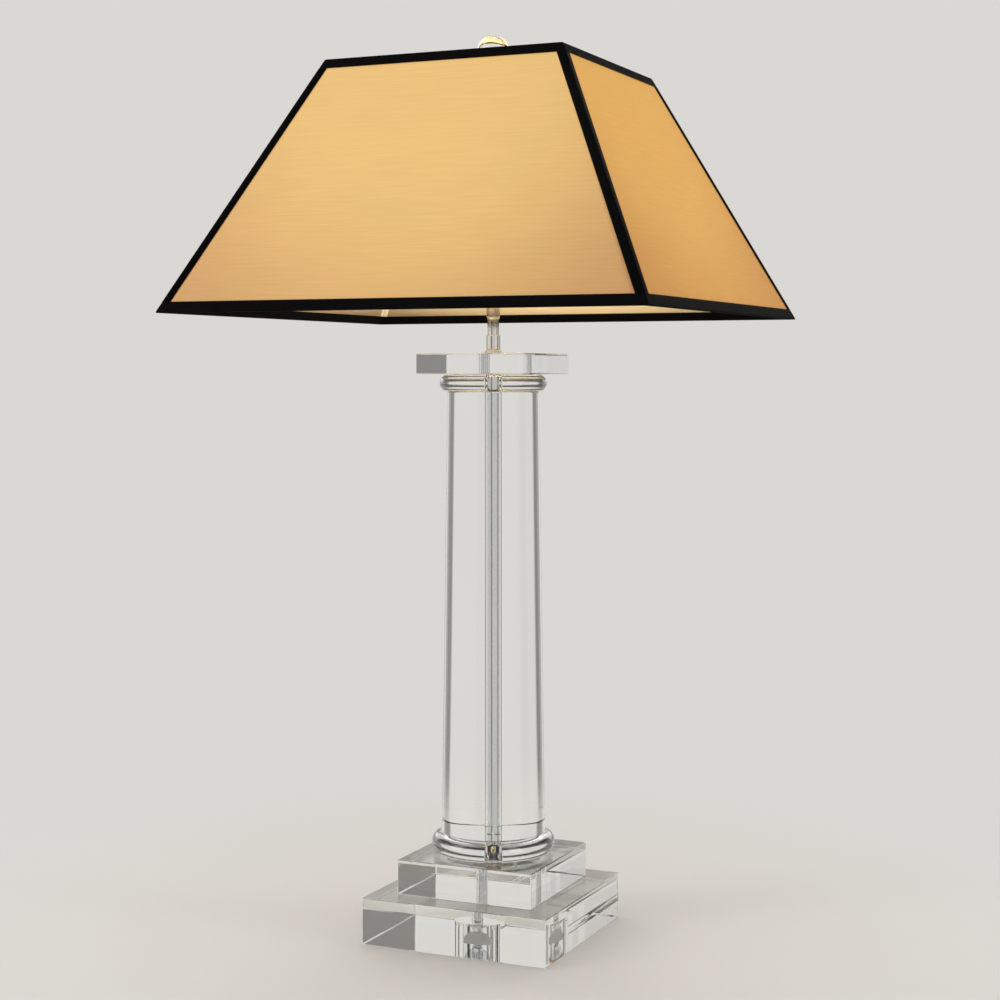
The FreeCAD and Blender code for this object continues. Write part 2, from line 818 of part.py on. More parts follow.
def spider_arms(diameter):
    """Four wires that run out from the hub and rise to the middle of each side."""
    arms = []
    arm_z = hub_z + spider_hub_thickness * HALF
    start = (spider_hub_diameter - spider_arm_diameter) * HALF
    weld_bite = ring_wire_diameter * HALF * HALF
    reach_x = half_width(top_ring_z, ring_offset) - weld_bite
    reach_y = half_depth(top_ring_z, ring_offset) - weld_bite
    for way, reach in (
        (Vector(1, 0, 0), reach_x),
        (Vector(0, 1, 0), reach_y),
        (Vector(-1, 0, 0), reach_x),
        (Vector(0, -1, 0), reach_y),
    ):
        bend = way * (reach - spider_arm_bend_inset) + UP * arm_z
        ends = [way * start + UP * arm_z, bend, way * reach + UP * top_ring_z]
        arms.append(round_rod(bent_path(ends, spider_arm_bend_radius), diameter))
    return arms


def shade_spider(top_ring):
    spider = cylinder(spider_hub_diameter, hub_z, finial_z)
    for arm in spider_arms(spider_arm_diameter):
        spider = spider.fuse(arm.cut(top_ring))
    hole = stud_diameter + 2 * spider_hub_hole_clearance
    return spider.cut(cylinder(hole, hub_z, finial_z)).removeSplitter()


def top_trim():
    """The top rim's tape, notched where the spider's arms come through."""
    tape = rim_tape(shade_top_z, -1, top_tape_height)
    for arm in spider_arms(spider_arm_diameter + 2 * spider_slot_clearance):
        tape = tape.cut(arm)
    return tape


# ------------------------------------------------------------------- finial
def finial_base():
    foot = finial_foot_diameter * HALF
    waist = finial_waist_diameter * HALF
    cup = finial_cup_diameter * HALF
    thread = stud_diameter * HALF + finial_thread_clearance
    foot_top = finial_z + finial_foot_height
    cup_z = finial_seat_z - finial_cup_height
    thread_top = hub_z + stud_length
    base = revolve_edges([
        line(profile_point(0, finial_z), profile_point(foot, finial_z)),
        line(profile_point(foot, finial_z), profile_point(foot, foot_top)),
        line(profile_point(foot, foot_top), profile_point(waist, foot_top)),
        arc(profile_point(waist, foot_top),
            profile_point(waist - finial_waist_hollow, (foot_top + cup_z) * HALF),
            profile_point(waist, cup_z)),
        line(profile_point(waist, cup_z), profile_point(cup, cup_z)),
        line(profile_point(cup, cup_z), profile_point(cup, finial_seat_z)),
        line(profile_point(cup, finial_seat_z), profile_point(0, finial_seat_z)),
        line(profile_point(0, finial_seat_z), profile_point(0, finial_z)),
    ])
    return base.cut(cylinder(2 * thread, finial_z, thread_top))


def finial_ball():
    radius = finial_ball_diameter * HALF
    seat = finial_seat_diameter * HALF
    centre_z = finial_seat_z + math.sqrt(radius ** 2 - seat ** 2)
    return revolve_edges([
        line(profile_point(0, finial_seat_z), profile_point(seat, finial_seat_z)),
        arc(profile_point(seat, finial_seat_z), profile_point(radius, centre_z),
            profile_point(0, centre_z + radius)),
        line(profile_point(0, centre_z + radius), profile_point(0, finial_seat_z)),
    ])


# ------------------------------------------------------------------ the lamp
bottom_ring = shade_ring(bottom_ring_z)
top_ring = shade_ring(top_ring_z)

pieces = {
    "lower_plinth": lower_plinth(),
    "upper_plinth": bored_block(upper_plinth_side, upper_plinth_z, upper_plinth_height),
    "base_ring": half_round_ring(base_ring_diameter, base_ring_z, base_ring_height),
    "column_shaft": column_shaft(),
    "capital_ring": half_round_ring(capital_ring_diameter, capital_ring_z, capital_ring_height),
    "abacus": bored_block(abacus_side, abacus_z, abacus_height),
    "center_pipe": tube(pipe_radius, pipe_radius - pipe_wall, pipe_bottom_z, pipe_top_z),
    "pad_washer": tube(pad_diameter * HALF, thread_radius, pad_z, recess_depth),
    "clamp_washer": tube(clamp_washer_diameter * HALF, thread_radius, clamp_washer_z, pad_z),
    "lock_washer": lock_washer(),
    "base_nut": base_nut(),
    "neck_flange": neck_flange(),
    "neck_sleeve": turned_ring(neck_sleeve_diameter, neck_sleeve_z, neck_tube_z),
    "neck_tube": turned_ring(neck_tube_diameter, neck_tube_z, neck_coupling_z),
    "neck_coupling": turned_ring(neck_coupling_diameter, neck_coupling_z, saddle_z),
    "harp_saddle": harp_saddle(),
    "harp": harp(),
    "harp_sleeve_left": harp_sleeve(-1),
    "harp_sleeve_right": harp_sleeve(1),
    "harp_stud": harp_stud(),
    "socket_cap": socket_cap(),
    "socket_shell": socket_shell(),
    "socket_liner": socket_liner(),
    "socket_core": socket_core(),
    "socket_screw_shell": tube(
        screw_shell_radius, screw_shell_inner_radius, core_top_z, core_top_z + screw_shell_height),
    "socket_contact": socket_contact(),
    "terminal_screws": terminal_screws(),
    "key_stem": key_stem(),
    "key_paddle": key_paddle(),
    "bulb_glass": bulb_glass(),
    "bulb_cap": bulb_cap(),
    "bulb_insulator": bulb_insulator(),
    "bulb_tip": bulb_tip(),
    "shade_top_ring": top_ring,
    "shade_bottom_ring": bottom_ring,
    "shade_spider": shade_spider(top_ring),
    "corner_struts": corner_struts([top_ring, bottom_ring]),
    "seam_tapes": seam_tapes(),
    "panel_front": shade_panel((-1, -1), (1, -1)),
    "panel_back": shade_panel((1, 1), (-1, 1)),
    "panel_left": shade_panel((-1, 1), (-1, -1)),
    "panel_right": shade_panel((1, -1), (1, 1)),
    "corner_tape_front_left": corner_tape(-1, -1),
    "corner_tape_front_right": corner_tape(1, -1),
    "corner_tape_back_left": corner_tape(-1, 1),
    "corner_tape_back_right": corner_tape(1, 1),
    "top_trim": top_trim(),
    "bottom_trim": rim_tape(shade_bottom_z, 1, bottom_tape_height),
    "finial_base": finial_base(),
    "finial_ball": finial_ball(),
}

os.makedirs("parts", exist_ok=True)
for name, shape in pieces.items():
    shape.exportStep("parts/" + name + ".step")
    box = shape.optimalBoundingBox(False)
    print("%-24s solids %d  valid %s  volume %10.1f  x %.1f..%.1f  y %.1f..%.1f  z %.1f..%.1f" % (
        name, len(shape.Solids), shape.isValid(), shape.Volume,
        box.XMin, box.XMax, box.YMin, box.YMax, box.ZMin, box.ZMax))
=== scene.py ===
import math

import bmesh
import bpy
from mathutils import Matrix, Vector


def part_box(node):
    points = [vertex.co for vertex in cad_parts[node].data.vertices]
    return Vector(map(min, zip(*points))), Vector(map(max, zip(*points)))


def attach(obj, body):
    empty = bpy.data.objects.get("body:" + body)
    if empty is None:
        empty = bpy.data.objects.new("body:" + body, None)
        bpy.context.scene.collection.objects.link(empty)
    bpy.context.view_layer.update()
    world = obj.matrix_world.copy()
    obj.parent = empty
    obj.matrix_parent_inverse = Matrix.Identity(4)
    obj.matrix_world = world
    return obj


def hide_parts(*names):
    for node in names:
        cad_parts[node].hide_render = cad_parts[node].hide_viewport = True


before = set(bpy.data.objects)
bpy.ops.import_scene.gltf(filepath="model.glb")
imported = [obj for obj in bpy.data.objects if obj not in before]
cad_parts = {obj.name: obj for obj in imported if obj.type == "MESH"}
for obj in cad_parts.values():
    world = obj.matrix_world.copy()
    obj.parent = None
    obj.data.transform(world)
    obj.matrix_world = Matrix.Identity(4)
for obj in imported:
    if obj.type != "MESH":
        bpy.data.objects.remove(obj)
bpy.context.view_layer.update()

# Column table lamp: a clear glass column on two square glass blocks, polished
# nickel fittings, and a lit silk shade edged in black tape. The sections follow
# the lamp from the table up, after the camera and the studio. Metres, +Z up.

# ---------------------------------------------------------------------- camera
# A long lens a little below the shade's rim, looking at the near corner of the
# base, so that the front wall of the shade is wide and the right one narrow.
camera_place = Vector((0.7303, -1.6276, 0.5136))
camera_tilt = math.radians(86.36)
camera_turn = math.radians(23.97)
camera = bpy.data.objects.new("camera", bpy.data.cameras.new("camera"))
camera.data.lens = 70.34
camera.data.sensor_width = 36.0
camera.location = camera_place
camera.rotation_euler = (camera_tilt, 0, camera_turn)
bpy.context.scene.collection.objects.link(camera)
bpy.context.scene.camera = camera
bpy.context.scene.view_settings.view_transform = "Standard"


# ---------------------------------------------------------------------- studio
# A round pale floor that runs out into a plain pale backdrop, and four soft boxes.
# Glass and metal also meet what draws their edges in a real studio: dark screens
# between the boxes, and tall windows.
def add_node(tree, kind, inputs=None, **settings):
    """Adds a shader node. Each input is a value, or the socket that feeds it."""
    made = tree.nodes.new("ShaderNode" + kind)
    for key, value in settings.items():
        setattr(made, key, value)
    for key, value in (inputs or {}).items():
        if isinstance(value, bpy.types.NodeSocket):
            tree.links.new(value, made.inputs[key])
        else:
            made.inputs[key].default_value = value
    return made


def arithmetic(tree, operation, first, second):
    """One sum on two numbers, either of which may be a socket."""
    return add_node(tree, "Math", {0: first, 1: second}, operation=operation).outputs[0]


def ramp(tree, value, start, end, low=0.0, high=1.0, kind="LINEAR"):
    """A number that goes from low to high while the value goes from start to end."""
    return add_node(tree, "MapRange", {"Value": value, "From Min": start, "From Max": end,
                                       "To Min": low, "To Max": high},
                    interpolation_type=kind).outputs[0]


def blend_colours(tree, share, first, second):
    """The first colour, turning into the second as share goes from 0 to 1."""
    mixing = add_node(tree, "Mix", {0: share, 6: first, 7: second}, data_type="RGBA")
    return mixing.outputs[2]


def upright_panels(tree, direction, bearings, half_width, soft_edge):
    """1 where a direction meets one of the upright panels round the room, else 0. Degrees."""
    level = add_node(tree, "VectorMath", {0: direction, 1: (1, 1, 0)}, operation="MULTIPLY")
    bearing = add_node(tree, "VectorMath", {0: level.outputs[0]}, operation="NORMALIZE")
    outer_edge = math.cos(math.radians(half_width + soft_edge))
    inner_edge = math.cos(math.radians(half_width - soft_edge))
    panels = 0
    for turned in bearings:
        angle = math.radians(turned)
        middle = (math.sin(angle), -math.cos(angle), 0)
        facing = add_node(tree, "VectorMath", {0: bearing.outputs[0], 1: middle},
                          operation="DOT_PRODUCT")
        panel = ramp(tree, facing.outputs["Value"], outer_edge, inner_edge, kind="SMOOTHSTEP")
        panels = arithmetic(tree, "ADD", panel, panels)
    return panels


def backdrop_colour(tree, direction):
    """Plain and pale to the camera. Glass and metal meet four dark screens."""
    pale = (0.70, 0.685, 0.66, 1)
    screen = (0.22, 0.21, 0.20, 1)
    screen_bearings = (147, 100, -5, -98)
    screens = upright_panels(tree, direction, screen_bearings, half_width=10, soft_edge=3)
    to_camera = add_node(tree, "LightPath").outputs["Is Camera Ray"]
    off_camera = arithmetic(tree, "SUBTRACT", 1, to_camera)
    return blend_colours(tree, arithmetic(tree, "MULTIPLY", screens, off_camera), pale, screen)


def seen_directly(tree):
    """1 for what the camera, a mirror or clear glass looks at, and 0 for light."""
    path = add_node(tree, "LightPath").outputs
    either = arithmetic(tree, "MAXIMUM", path["Is Camera Ray"], path["Is Glossy Ray"])
    return arithmetic(tree, "MAXIMUM", either, path["Is Transmission Ray"])


def window_strength(tree, direction):
    """How bright the backdrop is in a mirror: four tall windows with soft edges stand out."""
    window_bearings = (-52, 68, -126, 178)
    window_gain = 3.0
    windows = upright_panels(tree, direction, window_bearings, half_width=12, soft_edge=4)
    rise = add_node(tree, "SeparateXYZ", {0: direction}).outputs["Z"]
    foot = ramp(tree, rise, start=-0.02, end=0.22, kind="SMOOTHSTEP")
    top = ramp(tree, rise, start=0.85, end=0.7, kind="SMOOTHSTEP")
    lit = arithmetic(tree, "MULTIPLY", windows, arithmetic(tree, "MULTIPLY", foot, top))
    path = add_node(tree, "LightPath").outputs
    mirrored = arithmetic(tree, "SUBTRACT", path["Is Glossy Ray"], path["Is Transmission Ray"])
    shown = arithmetic(tree, "MULTIPLY", lit, arithmetic(tree, "MAXIMUM", mirrored, 0))
    return arithmetic(tree, "ADD", arithmetic(tree, "MULTIPLY", shown, window_gain), 1.0)


studio = bpy.data.worlds.new("studio")
studio.use_nodes = True
bpy.context.scene.world = studio
room = studio.node_tree
room.nodes.clear()
view_direction = add_node(room, "TexCoord").outputs["Generated"]
room_light = add_node(room, "Background", {"Color": (1, 0.99, 0.97, 1), "Strength": 0.52})
backdrop = add_node(room, "Background", {"Color": backdrop_colour(room, view_direction),
                                         "Strength": window_strength(room, view_direction)})
either_view = add_node(room, "MixShader", {0: seen_directly(room), 1: room_light.outputs[0],
                                           2: backdrop.outputs[0]})
add_node(room, "OutputWorld", {0: either_view.outputs[0]})

floor_radius = 40.0
floor_level = -0.0003
floor_fade_start = 0.2
floor_fade_end = 0.75
floor_mesh = bmesh.new()
bmesh.ops.create_circle(floor_mesh, cap_ends=True, segments=128, radius=floor_radius,
                        matrix=Matrix.Translation((0, 0, floor_level)))
floor_data = bpy.data.meshes.new("floor")
floor_mesh.to_mesh(floor_data)
floor_mesh.free()
floor = bpy.data.objects.new("floor", floor_data)
bpy.context.scene.collection.objects.link(floor)

floor_paint = bpy.data.materials.new("floor_paint")
floor_paint.use_nodes = True
paint = floor_paint.node_tree
floor_place = add_node(paint, "TexCoord").outputs["Object"]
floor_direction = add_node(paint, "VectorMath", {0: floor_place}, operation="NORMALIZE")
floor_distance = add_node(paint, "VectorMath", {0: floor_place}, operation="LENGTH")
floor_fade = ramp(paint, floor_distance.outputs["Value"], floor_fade_start, floor_fade_end,
                  kind="SMOOTHSTEP")
far_floor = add_node(paint, "Emission",
                     {"Color": backdrop_colour(paint, floor_direction.outputs[0])})
near_floor = paint.nodes["Principled BSDF"]
near_floor.inputs["Base Color"].default_value = (0.68, 0.665, 0.64, 1)
near_floor.inputs["Roughness"].default_value = 0.6
fade_share = arithmetic(paint, "MULTIPLY", floor_fade, seen_directly(paint))
floor_mix = add_node(paint, "MixShader",
                     {0: fade_share, 1: near_floor.outputs[0], 2: far_floor.outputs[0]})
paint.links.new(floor_mix.outputs[0], paint.nodes["Material Output"].inputs["Surface"])
floor.data.materials.append(floor_paint)

# Bearings are in degrees from the front, as for the screens and windows above.
lamp_middle = Vector((0, 0, 0.45))
for box_name, bearing, distance, height, wide, tall, watts in (
        ("key_box", -40.0, 2.3, 1.15, 0.9, 1.7, 26.0),
        ("fill_box", 96.0, 2.3, 0.95, 0.6, 1.7, 17.0),
        ("left_back_box", -128.0, 2.4, 1.1, 0.7, 1.6, 14.0),
        ("right_back_box", 165.0, 2.4, 1.2, 0.7, 1.6, 12.0)):
    angle = math.radians(bearing)
    soft_box = bpy.data.objects.new(box_name, bpy.data.lights.new(box_name, "AREA"))
    soft_box.data.shape = "RECTANGLE"
    soft_box.data.size = wide
    soft_box.data.size_y = tall
    soft_box.data.energy = watts
    soft_box.location = (distance * math.sin(angle), -distance * math.cos(angle), height)
    to_lamp = lamp_middle - soft_box.location
    soft_box.rotation_euler = to_lamp.to_track_quat("-Z", "Y").to_euler()
    soft_box.visible_camera = False
    soft_box.visible_glossy = False
    soft_box.visible_transmission = False
    bpy.context.scene.collection.objects.link(soft_box)


# ----------------------------------------------------------------- lower block
# The block that stands on the table: clear optical glass, sawn, ground square
# and polished, with eased edges. Underneath it is drilled out for the nut, and
# a half-round groove lets the cord out at the back.
def start_material(name, sockets):
    """A material with one Principled shader, and its tree. The sockets are set on the shader."""
    material = bpy.data.materials.new(name)
    material.use_nodes = True
    shader = material.node_tree.nodes["Principled BSDF"]
    for socket, value in sockets.items():
        shader.inputs[socket].default_value = value
    return material, material.node_tree, shader


def uneven(tree, scale, low=0.0, high=1.0, stretch=(1, 1, 1)):
    """A number that wanders between low and high over the piece, scale times a metre."""
    place = add_node(tree, "TexCoord").outputs["Object"]
    stretched = add_node(tree, "Mapping", {"Vector": place, "Scale": stretch}).outputs[0]
    noise = add_node(tree, "TexNoise", {"Vector": stretched, "Scale": scale, "Detail": 3.0})
    return ramp(tree, noise.outputs[0], 0.3, 0.7, low, high)


def two_tones(tree, shader, share, first, second):
    """The shader's colour goes from the first tone to the second as share goes from 0 to 1."""
    tree.links.new(blend_colours(tree, share, first, second), shader.inputs["Base Color"])


def emboss(tree, shader, height, distance, strength):
    """Raises the shader's surface by a height that goes from 0 to 1, distance metres deep."""
    bump = add_node(tree, "Bump", {"Height": height, "Distance": distance, "Strength": strength})
    tree.links.new(bump.outputs[0], shader.inputs["Normal"])


def clear_glass_material():
    """Polished glass with faint wiping smears. The boxes' light passes it with little shade."""
    glass, tree, shader = start_material("clear_glass", {
        "Base Color": (0.985, 0.995, 0.985, 1), "Transmission Weight": 1.0, "IOR": 1.52})
    tree.links.new(uneven(tree, 14.0, 0.0, 0.012), shader.inputs["Roughness"])
    two_tones(tree, shader, uneven(tree, 5.0), (0.992, 0.998, 0.99, 1), (0.975, 0.99, 0.98, 1))
    passing = add_node(tree, "BsdfTransparent", {"Color": (0.78, 0.79, 0.78, 1)})
    shadow = add_node(tree, "LightPath").outputs["Is Shadow Ray"]
    both = add_node(tree, "MixShader", {0: shadow, 1: shader.outputs[0], 2: passing.outputs[0]})
    tree.links.new(both.outputs[0], tree.nodes["Material Output"].inputs["Surface"])
    return glass


def ease_edges(mesh, width):
    """Rounds every sharp edge over, and keeps the faces beside it true."""
    sharp_angle = math.radians(35)
    sharp = [edge for edge in mesh.edges
             if len(edge.link_faces) == 2 and edge.calc_face_angle() > sharp_angle]
    made = bmesh.ops.bevel(mesh, geom=sharp, affect="EDGES", offset=width, segments=3,
                           profile=0.5, material=-1)
    rounded = set(made["faces"])
    for face in rounded:
        face.smooth = True
    for edge in mesh.edges:
        sides = [face in rounded for face in edge.link_faces]
        if any(sides) and not all(sides):
            edge.smooth = False


def rod_shape(radius, start, end, segments=96):
    """A closed round bar between two points."""
    mesh = bmesh.new()
    run = end - start
    turn = run.to_track_quat("Z", "Y").to_matrix().to_4x4()
    bmesh.ops.create_cone(mesh, cap_ends=True, segments=segments, radius1=radius, radius2=radius,
                          depth=run.length, matrix=Matrix.Translation((start + end) / 2) @ turn)
    for face in mesh.faces:
        face.smooth = len(face.verts) == 4
    return mesh


def place_piece(name, mesh, material=None):
    """Makes a named object of a finished mesh."""
    data = bpy.data.meshes.new(name)
    mesh.to_mesh(data)
    mesh.free()
    piece = bpy.data.objects.new(name, data)
    bpy.context.scene.collection.objects.link(piece)
    if material:
        piece.data.materials.append(material)
    return piece


def cut_out(piece, tools):
    """Cuts each tool's shape out of the piece, then puts the tools away."""
    for tool in tools:
        cut = piece.modifiers.new("cut", "BOOLEAN")
        cut.operation = "DIFFERENCE"
        cut.solver = "EXACT"
        cut.object = tool
    cut_piece = piece.evaluated_get(bpy.context.evaluated_depsgraph_get())
    left_over = bpy.data.meshes.new_from_object(cut_piece)
    piece.modifiers.clear()
    piece.data = left_over
    for tool in tools:
        bpy.data.objects.remove(tool)


def stand_for(piece, body, slot, *nodes):
    """The piece moves with a body and stands for its nodes, which it hides. The slot is not used.
    """
    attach(piece, body)
    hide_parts(*nodes)


def block_shape(node, seat_gap, edge):
    """A square block as large as its node, less a hair's breadth of air above and below it."""
    low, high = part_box(node)
    size = high - low - Vector((0, 0, 2 * seat_gap))
    place = Matrix.Translation((low + high) / 2) @ Matrix.Diagonal(size.to_4d())
    mesh = bmesh.new()
    bmesh.ops.create_cube(mesh, size=1.0, matrix=place)
    ease_edges(mesh, edge)
    return mesh


glass = clear_glass_material()
seat_gap = 0.00002
glass_edge = 0.0008
bore_radius = 0.0055
recess_radius = 0.022
recess_depth = 0.018 + seat_gap
groove_radius = 0.004
cut_spare = 0.01         # how far a cut runs past the glass
underneath = Vector((0, 0, -cut_spare))
lower_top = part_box("lower_plinth")[1]
lower_block = place_piece(
    "lower_block", block_shape("lower_plinth", seat_gap, glass_edge), glass)
bore_end = Vector((0, 0, lower_top.z + cut_spare))
recess_end = Vector((0, 0, recess_depth))
groove_start = Vector((0, 0, 0))
groove_end = Vector((0, lower_top.y + cut_spare, 0))
cut_out(lower_block, [
    place_piece("bore", rod_shape(bore_radius, underneath, bore_end)),
    place_piece("recess", rod_shape(recess_radius, underneath, recess_end, 128)),
    place_piece("groove", rod_shape(groove_radius, groove_start, groove_end, 48))])
stand_for(lower_block, "lamp_base", "clear_glass", "lower_plinth")


# ------------------------------------------------------------- square blocks
# The second step of the base, and the flat block on top of the column. Both
# are the same clear glass, drilled through for the pipe, and only rest there.
for node, name in (("upper_plinth", "upper_block"), ("abacus", "top_block")):
    low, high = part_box(node)
    block = place_piece(name, block_shape(node, seat_gap, glass_edge), glass)
    bore_start = Vector((0, 0, low.z - cut_spare))
    bore_end = Vector((0, 0, high.z + cut_spare))
    cut_out(block, [place_piece("bore", rod_shape(bore_radius, bore_start, bore_end))])
    stand_for(block, "lamp_base", "clear_glass", node)


# ------------------------------------------------------- shaft and round rings
# The tapered shaft and the two discs with half-round rims above and below it.
# Each is turned and polished in one piece, and the pipe clamps them together.
def turn_round(outline, steps=192):
    """Turns a closed outline of radius and height points round the lamp's axis."""
    mesh = bmesh.new()
    corners = [mesh.verts.new((radius, 0, height)) for radius, height in outline]
    edges = [mesh.edges.new((corners[i - 1], corners[i])) for i in range(len(corners))]
    bmesh.ops.spin(mesh, geom=corners + edges, cent=(0, 0, 0), axis=(0, 0, 1),
                   angle=math.tau, steps=steps, use_merge=True)
    bmesh.ops.remove_doubles(mesh, verts=mesh.verts, dist=1e-6)
    bmesh.ops.dissolve_degenerate(mesh, edges=mesh.edges, dist=1e-7)
    loose = [edge for edge in mesh.edges if not edge.link_faces]
    bmesh.ops.delete(mesh, geom=loose, context="EDGES")
    bmesh.ops.recalc_face_normals(mesh, faces=mesh.faces)
    for face in mesh.faces:
        face.smooth = abs(face.normal.z) < 0.9999
    return mesh


def round_stretch(centre, radius, start, end, steps):
    """Points of an arc in an outline, from one angle to another, in degrees."""
    angles = [math.radians(start + (end - start) * i / steps) for i in range(steps + 1)]
    return [(centre[0] + radius * math.cos(a), centre[1] + radius * math.sin(a)) for a in angles]


shaft_low, shaft_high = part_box("column_shaft")
shaft_top_radius = 0.042
shaft_bottom = shaft_low.z + seat_gap
shaft_top = shaft_high.z - seat_gap
shaft_mesh = turn_round([(bore_radius, shaft_bottom), (shaft_high.x, shaft_bottom),
                         (shaft_top_radius, shaft_top), (bore_radius, shaft_top)])
ease_edges(shaft_mesh, glass_edge)
shaft = place_piece("shaft", shaft_mesh, glass)
stand_for(shaft, "lamp_base", "clear_glass", "column_shaft")

for node, name in (("base_ring", "base_disc"), ("capital_ring", "capital_disc")):
    low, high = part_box(node)
    rim_radius = (high.z - low.z) / 2 - seat_gap
    rim_centre = (high.x - rim_radius, (low.z + high.z) / 2)
    disc_mesh = turn_round([(bore_radius, low.z + seat_gap)]
                           + round_stretch(rim_centre, rim_radius, -90, 90, 40)
                           + [(bore_radius, high.z - seat_gap)])
    disc = place_piece(name, disc_mesh, glass)
    stand_for(disc, "lamp_base", "clear_glass", node)


# ------------------------------------------------------------------------ pipe
# One length of plated steel pipe runs from the nut to the lamp socket and holds
# everything up. Its lower end is threaded for the nut, and the rest is smooth.
def plated_steel_material():
    """Bright zinc plating, smooth, with a faint blue cast in patches and fine drawing lines."""
    steel, tree, shader = start_material("plated_steel", {"Metallic": 1.0})
    two_tones(tree, shader, uneven(tree, 26.0), (0.78, 0.785, 0.80, 1), (0.70, 0.72, 0.755, 1))
    tree.links.new(uneven(tree, 40.0, 0.12, 0.18), shader.inputs["Roughness"])
    drawing_lines = uneven(tree, 2400.0, stretch=(1, 1, 0.004))
    emboss(tree, shader, drawing_lines, 0.000004, 0.3)
    return steel


plated_steel = plated_steel_material()
pipe_low, pipe_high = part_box("center_pipe")
pipe_wall = 0.0012
thread_pitch = 0.001
thread_depth = 0.0005
thread_turns = 13
pipe_bore = pipe_high.x - pipe_wall
thread_root = pipe_high.x - thread_depth
pipe_outline = [(pipe_bore, pipe_low.z), (thread_root, pipe_low.z)]
for turn in range(thread_turns):
    crest_z = pipe_low.z + thread_pitch * (turn + 0.5)
    pipe_outline += [(pipe_high.x, crest_z), (thread_root, crest_z + thread_pitch / 2)]
pipe_outline += [(pipe_high.x, pipe_low.z + thread_pitch * (thread_turns + 0.5)),
                 (pipe_high.x, pipe_high.z), (pipe_bore, pipe_high.z)]
pipe = place_piece("pipe", turn_round(pipe_outline, 96), plated_steel)
for edge in pipe.data.edges:
    edge.use_edge_sharp = False
pipe.data.set_sharp_from_angle(angle=math.radians(30))
stand_for(pipe, "lamp_base", "plated_steel", "center_pipe")


# --------------------------------------------------------- washers, pad and nut
# The stack under the base: a soft pad against the glass, a wide washer, a split
# spring washer and a hexagon nut, all pushed on from below and done up tight.
def finish_nodes(material, *nodes):
    """Gives these nodes' own meshes the finished material."""
    for node in nodes:
        for material_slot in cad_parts[node].material_slots:
            material_slot.material = material


def pad_rubber_material():
    """Natural gum rubber sheet: amber, matt, faintly grained and a little cloudy."""
    rubber, tree, shader = start_material("pad_rubber", {"Roughness": 0.6})
    two_tones(tree, shader, uneven(tree, 240.0), (0.70, 0.46, 0.22, 1), (0.60, 0.37, 0.15, 1))
    emboss(tree, shader, uneven(tree, 1800.0), 0.00005, 0.5)
    return rubber


finish_nodes(plated_steel, "clamp_washer", "lock_washer", "base_nut")
finish_nodes(pad_rubber_material(), "pad_washer")


# ------------------------------------------------------------------------ neck
# Four turned nickel rings that slide over the pipe and cover it between the top
# block and the shade: a stepped flange, a sleeve, a slimmer tube and a collar.
def polished_nickel_material():
    """Nickel plate polished to a mirror, a little warm, with fine hazy wiping marks."""
    nickel, tree, shader = start_material("polished_nickel", {
        "Metallic": 1.0, "Anisotropic": 0.15, "Coat Weight": 0.15, "Coat Roughness": 0.05})
    two_tones(tree, shader, uneven(tree, 60.0), (0.80, 0.775, 0.73, 1), (0.74, 0.70, 0.64, 1))
    tree.links.new(uneven(tree, 180.0, 0.07, 0.17, (1, 1, 3)), shader.inputs["Roughness"])
    emboss(tree, shader, uneven(tree, 1200.0, stretch=(0.05, 0.05, 1)), 0.00001, 0.3)
    return nickel


nickel = polished_nickel_material()
pipe_hole = 0.005
neck_edge = 0.0005
tube_edge = neck_edge / 4

flange_low, flange_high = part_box("neck_flange")
flange_step_radius = 0.0074
flange_step_z = (flange_low.z + flange_high.z) / 2
neck_outlines = {
    "neck_flange": [(pipe_hole, flange_low.z), (flange_high.x, flange_low.z),
                    (flange_high.x, flange_step_z), (flange_step_radius, flange_step_z),
                    (flange_step_radius, flange_high.z), (pipe_hole, flange_high.z)]}
for node in ("neck_sleeve", "neck_coupling"):
    low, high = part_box(node)
    neck_outlines[node] = [(pipe_hole, low.z), (high.x, low.z),
                           (high.x, high.z), (pipe_hole, high.z)]
tube_low, tube_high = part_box("neck_tube")
shoulder_height = 0.0022
shoulder_width = 0.9 * (tube_high.x - pipe_hole)
shoulder_angles = [math.radians(degrees) for degrees in range(0, 91, 15)]
neck_outlines["neck_tube"] = (
    [(pipe_hole, tube_low.z), (tube_high.x, tube_low.z)]
    + [(tube_high.x - shoulder_width * (1 - math.cos(angle)),
        tube_high.z - shoulder_height * (1 - math.sin(angle))) for angle in shoulder_angles]
    + [(pipe_hole, tube_high.z)])
for node, outline in neck_outlines.items():
    ring_mesh = turn_round(outline, 96)
    ease_edges(ring_mesh, tube_edge if node == "neck_tube" else neck_edge)
    ring = place_piece(node.replace("neck_", "turned_"), ring_mesh, nickel)
    stand_for(ring, "lamp_base", "polished_nickel", node)


# ------------------------------------------------------------ harp and saddle
# The bent nickel wire that carries the shade over the bulb. Its two ends stand
# on the prongs of a strip saddle under the socket, locked by lifting sleeves.
finish_nodes(nickel, "harp_saddle", "harp", "harp_stud", "harp_sleeve_left", "harp_sleeve_right")


# ------------------------------------------------------------------ lamp socket
# A turn-key lamp socket: spun nickel cap and shell, a board liner, an unglazed
# porcelain core, and the brass screw shell, tongue and screws that carry current.
def liner_board_material():
    """Grey-brown pressed board, with its fibres showing."""
    board, tree, shader = start_material("liner_board", {"Roughness": 0.85})
    two_tones(tree, shader, uneven(tree, 700.0, stretch=(1, 1, 0.2)),
              (0.36, 0.29, 0.19, 1), (0.50, 0.41, 0.29, 1))
    emboss(tree, shader, uneven(tree, 1500.0, stretch=(1, 1, 0.3)), 0.00005, 0.5)
    return board


